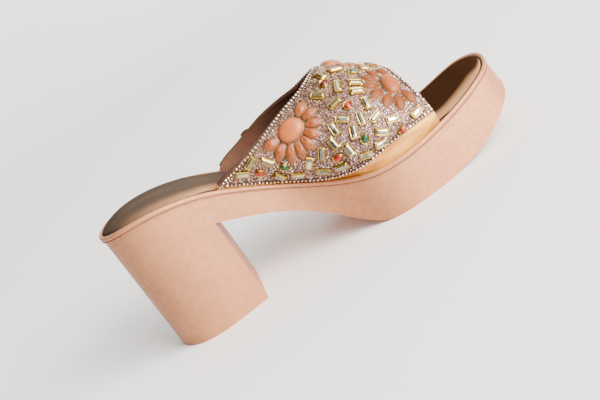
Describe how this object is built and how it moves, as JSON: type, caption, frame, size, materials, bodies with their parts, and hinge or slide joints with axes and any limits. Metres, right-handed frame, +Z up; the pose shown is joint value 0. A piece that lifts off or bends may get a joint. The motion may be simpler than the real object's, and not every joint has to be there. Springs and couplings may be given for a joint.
{
  "type": "block heel sandal",
  "caption": "Left women's platform mule with a block heel, rose gold wrapped sole and an open-toed vamp covered in crystals and coral flowers.",
  "frame": {"origin": "centre of the bounding box at floor level, under the standing shoe", "axes": "+X from heel to toe, -Y towards the inner (medial) side of this left shoe, +Z up from the floor"},
  "size_m": [0.2438, 0.0934, 0.088],
  "materials": {
    "rose_gold_cover": "metallic satin",
    "champagne_sock": "metallic satin, padded",
    "bead_ground": "beaded, sparkling, brown lining",
    "gold_piping": "metallic satin",
    "coral_resin": "polished, pearly"
  },
  "bodies": {
    "root": {"sole": "rose_gold_cover", "footbed": "champagne_sock", "upper": "bead_ground", "piping": "gold_piping", "flower_inner_rear": "coral_resin", "flower_inner_front": "coral_resin", "flower_crown": "coral_resin", "flower_outer_front": "coral_resin", "flower_outer_rear": "coral_resin"}
  },
  "joints": []
}
